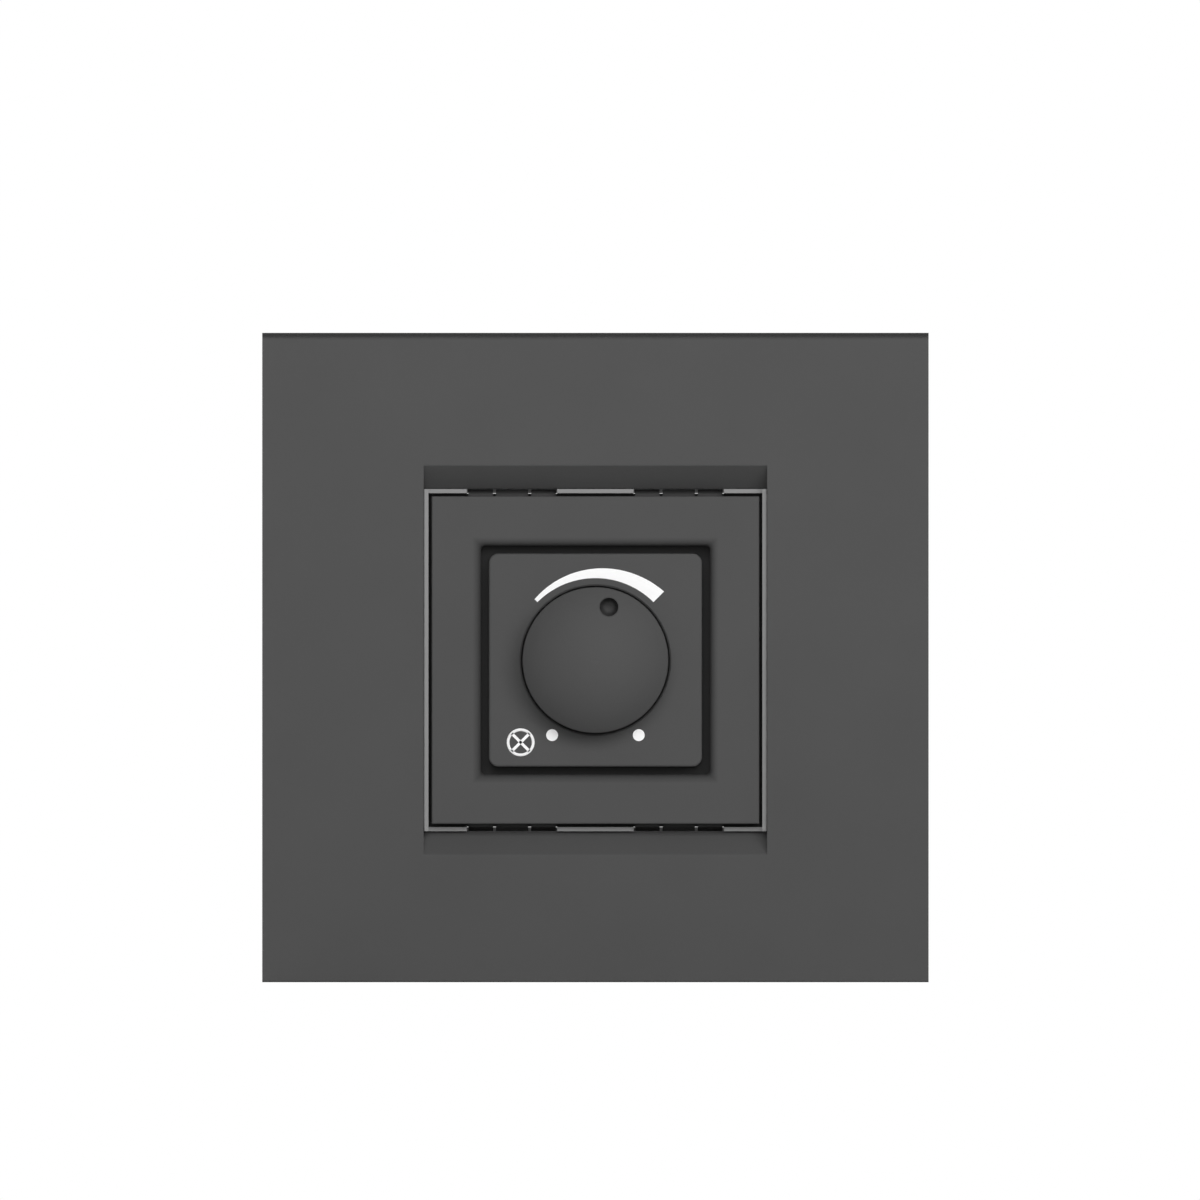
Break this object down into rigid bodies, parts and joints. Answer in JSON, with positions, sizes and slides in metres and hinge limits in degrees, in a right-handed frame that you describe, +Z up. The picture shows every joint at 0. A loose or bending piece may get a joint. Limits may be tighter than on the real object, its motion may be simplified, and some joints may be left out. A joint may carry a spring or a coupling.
{
  "type": "rotary dimmer switch",
  "caption": "Wall rotary dimmer: square cover plate on a screwed support frame, snap-in module with a domed turning knob in a recessed scale plate, and a deep rear housing with its circuit.",
  "frame": {"origin": "on the plane of the wall's surface, where the knob's axis crosses it, midway between the two wall screws", "axes": "+Z is up, +X is to the right seen from the front, and the front with the knob faces -Y"},
  "size_m": [0.09, 0.0435, 0.0877],
  "materials": {
    "dark_plastic": "satin dark grey",
    "grey_plastic": "matt light grey",
    "black_plastic": "matt black",
    "white_plastic": "natural",
    "steel": "zinc plated",
    "shaft_aluminium": "turned",
    "aluminium": "plain sheet",
    "plated_brass": "nickel plated",
    "spring_brass": "spring temper",
    "brass": "machined",
    "copper": "enamelled wire",
    "iron_powder": "coated",
    "brown_board": "laminate",
    "green_board": "laminate with solder mask",
    "black_epoxy": "moulded epoxy",
    "yellow_case": "moulded case",
    "red_case": "dipped",
    "beige_coat": "lacquered",
    "blue_glass": "glazed"
  },
  "bodies": {
    "base": {"cover_plate": "dark_plastic", "support_frame": "grey_plastic", "front_frame": "dark_plastic", "scale_plate": "dark_plastic", "pot_bushing": "plated_brass", "pot_case": "steel", "pot_wafer": "brown_board", "pot_terminals": "plated_brass", "pot_washer": "steel", "pot_nut": "plated_brass", "heat_sink": "aluminium", "chassis_screws": "steel", "triac": "black_epoxy", "triac_screw": "steel", "circuit_board": "green_board", "choke_core": "iron_powder", "choke_winding": "copper", "filter_capacitor": "yellow_case", "timing_capacitor": "red_case", "resistors": "beige_coat", "diac": "blue_glass", "terminal_blocks": "brass", "terminal_screws": "steel", "housing": "black_plastic"},
    "dial": {"knob": "dark_plastic", "knob_spring": "steel", "pot_shaft": "shaft_aluminium", "shaft_ring": "steel", "pot_rotor": "white_plastic", "pot_wiper": "spring_brass"}
  },
  "joints": [
    {"name": "knob_turn", "type": "hinge", "parent": "base", "child": "dial", "pos_m": [0, 0, 0], "axis": [0, 1, 0], "range_deg": [-164.3, 135.7]}
  ]
}
